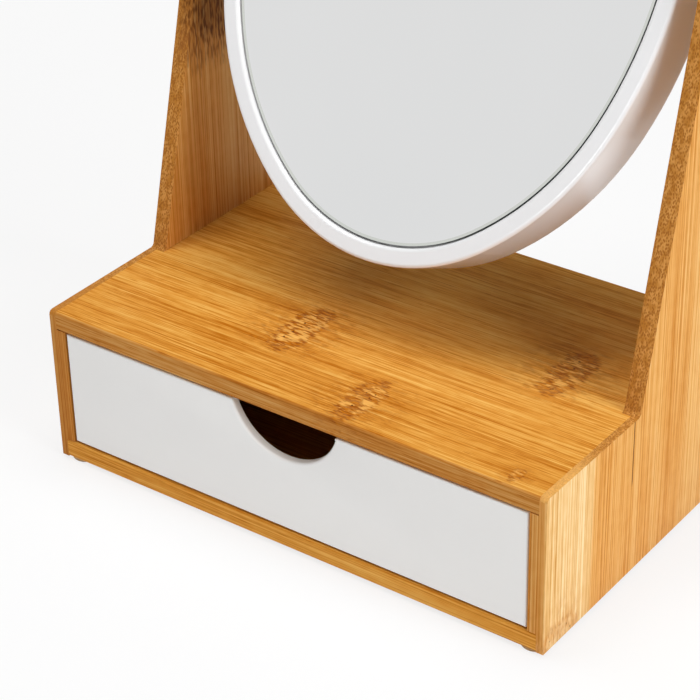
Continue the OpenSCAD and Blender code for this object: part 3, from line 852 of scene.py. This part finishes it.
plain_glass = made_piece(work, "ground_plain_glass", [mirror_glass, ground_rim])
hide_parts("plain_mirror_glass")
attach(plain_glass, "mirror")
plain_glass.visible_diffuse = False

# %% [markdown]
# ## Floor and light
# The object stands on a plain white floor in soft light. The floor is white to the camera because of its
# own colour and a light of its own that only the camera and shining surfaces see, so that it adds none to
# the object, and it still takes the object's shadow. That light grows to full white away from the object.

# %% What is seen directly
def seen_directly(tree):
    """1 for the camera and for what shines or lets light through, and 0 for light on dull surfaces."""
    rays = add(tree, "LightPath", {})
    seen = calc(tree, "MAXIMUM", rays.outputs["Is Camera Ray"], rays.outputs["Is Glossy Ray"])
    seen = calc(tree, "MAXIMUM", seen, rays.outputs["Is Transmission Ray"])
    return calc(tree, "MULTIPLY", seen, calc(tree, "LESS_THAN", rays.outputs["Diffuse Depth"], 0.5))


# %% Floor
FLOOR_HALF = 6.0
FLOOR_SHADE = (0.9, 0.9, 0.9, 1.0)
FLOOR_ROUGHNESS = 0.9
WHITE = (1.0, 1.0, 1.0, 1.0)
NEAR, FAR = 0.3, 1.4
GLOW_NEAR, GLOW_FAR = 0.78, 1.0

floor_mesh = bpy.data.meshes.new("floor")
corners = [(x * FLOOR_HALF, y * FLOOR_HALF, 0.0) for x, y in ((-1, -1), (1, -1), (1, 1), (-1, 1))]
floor_mesh.from_pydata(corners, [], [(0, 1, 2, 3)])
floor = bpy.data.objects.new("floor", floor_mesh)
bpy.context.scene.collection.objects.link(floor)
floor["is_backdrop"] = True

floor_finish, tree, surface = new_finish("floor_white")
surface.inputs["Base Color"].default_value = FLOOR_SHADE
surface.inputs["Roughness"].default_value = FLOOR_ROUGHNESS
white = add(tree, "Emission", {"Color": WHITE, "Strength": 1.0})
place = add(tree, "TexCoord", {}).outputs["Object"]
far = add(tree, "VectorMath", {0: place}, operation="LENGTH").outputs["Value"]
share = both(tree, seen_directly(tree), between(tree, far, NEAR, FAR, GLOW_NEAR, GLOW_FAR))
shown = add(tree, "MixShader", {0: share, 1: surface.outputs[0], 2: white.outputs[0]})
tree.links.new(shown.outputs[0], tree.nodes["Material Output"].inputs["Surface"])
floor_mesh.materials.append(floor_finish)
print("floor", 2 * FLOOR_HALF, "m wide")

# %% [markdown]
# The studio's walls are far off. The camera sees them white, and dull surfaces get only a little light from
# them, which keeps the shadows from going black.

# %% World
WORLD_LEVEL = 0.07
world = bpy.data.worlds.new("studio")
bpy.context.scene.world = world
world.use_nodes = True
tree = world.node_tree
strength = between(tree, seen_directly(tree), 0.0, 1.0, WORLD_LEVEL, 1.0)
tree.links.new(strength, tree.nodes["Background"].inputs["Strength"])
tree.nodes["Background"].inputs["Color"].default_value = WHITE
print("share of the walls' light on dull surfaces", WORLD_LEVEL)

# %% [markdown]
# Large soft boxes stand where the photograph's light seems to come from: at the right, above and behind,
# above on the left, and low in front. One strong lamp would be simpler, but the photograph has no hard
# shadow.

# %% Lamps
AIM = (0.0, 0.0, 0.12)
BOX_SIZE = 0.9
BOXES = {
    "right_box": ((1.63, -0.19, 0.93), 20.3),
    "top_back_box": ((0.1, 0.25, 1.85), 10.6),
    "top_left_box": ((-0.5, -0.3, 1.8), 13.0),
    "low_front_box": ((0.0, -1.9, 0.25), 9.6),
}


def soft_lamp(name, place, power):
    """A square soft box at a place in metres, with its power in watts, aimed at the object."""
    lamp = bpy.data.objects.new(name, bpy.data.lights.new(name, "AREA"))
    lamp.data.shape = "SQUARE"
    lamp.data.size = BOX_SIZE
    lamp.data.energy = power
    lamp.location = place
    lamp.rotation_mode = "QUATERNION"
    lamp.rotation_quaternion = (Vector(place) - Vector(AIM)).to_track_quat("Z", "Y")
    bpy.context.scene.collection.objects.link(lamp)


for name, (place, power) in BOXES.items():
    soft_lamp(name, place, power)
print("lamps", list(BOXES))

# %% Sizes and finish
bpy.context.scene.view_settings.view_transform = "Standard"
bpy.context.view_layer.update()
low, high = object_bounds()
print("size with looks in mm", [round(1000 * side, 1) for side in high - low])
